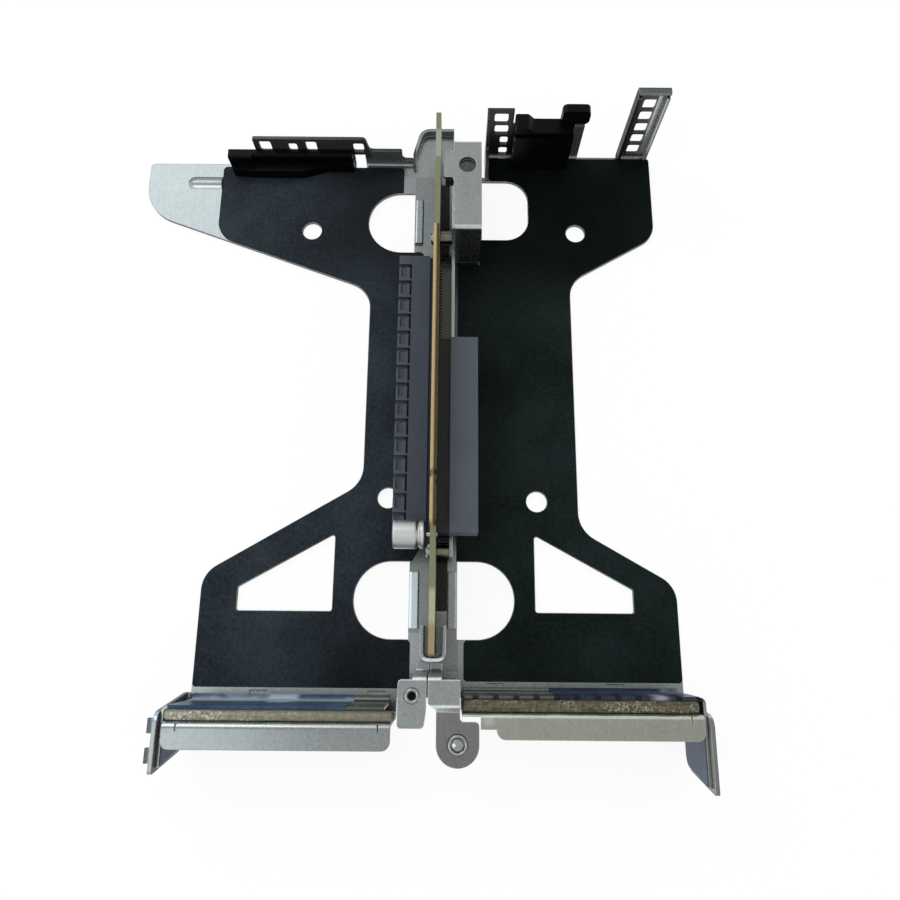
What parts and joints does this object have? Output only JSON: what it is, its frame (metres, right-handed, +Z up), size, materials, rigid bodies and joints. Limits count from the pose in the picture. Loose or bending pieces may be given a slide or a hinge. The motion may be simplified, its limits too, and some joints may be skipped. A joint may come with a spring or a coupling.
{
  "type": "riser card",
  "caption": "Flat folded-steel riser tray with an upright circuit board along its middle, a card slot on each side, insulating film, slot covers and plastic card retainers.",
  "frame": {"origin": "on the tray's underside, below the middle plane of the riser board", "axes": "+X across toward the short slot's side, +Y along the board toward the retainers, +Z up from the tray to the board's contact tongue"},
  "size_m": [0.1685, 0.2044, 0.033],
  "materials": {
    "galvanised_steel": "satin zinc coating",
    "cover_steel": "satin",
    "insulator_film": "satin film",
    "protective_film": "clear blue film",
    "slot_plastic": "moulded satin",
    "contact_metal": "gold flash",
    "board_laminate": "glass laminate with green mask",
    "can_aluminium": "satin",
    "seal_rubber": "matt",
    "tinned_wire": "bright",
    "fastener_steel": "bright",
    "gasket_cloth": "conductive cloth",
    "retainer_plastic": "gloss moulded"
  },
  "bodies": {
    "root": {"base_tray": "galvanised_steel", "board_bracket": "galvanised_steel", "board_guide": "galvanised_steel", "board_screws": "fastener_steel", "board_standoffs": "fastener_steel", "capacitor_can": "can_aluminium", "capacitor_leads": "tinned_wire", "capacitor_seal": "seal_rubber", "captive_screw": "fastener_steel", "clinch_nut": "fastener_steel", "left_card_retainer": "retainer_plastic", "left_cover_film": "protective_film", "left_gasket": "gasket_cloth", "left_insulator_film": "insulator_film", "left_slot_contacts": "contact_metal", "left_slot_cover": "cover_steel", "left_slot_housing": "slot_plastic", "nut_plate": "galvanised_steel", "rear_bracket": "galvanised_steel", "right_card_retainer": "retainer_plastic", "right_cover_film": "protective_film", "right_gasket": "gasket_cloth", "right_insulator_film": "insulator_film", "right_slot_contacts": "contact_metal", "right_slot_cover": "cover_steel", "right_slot_housing": "slot_plastic", "riser_board": "board_laminate", "screw_sleeve": "fastener_steel"}
  },
  "joints": []
}
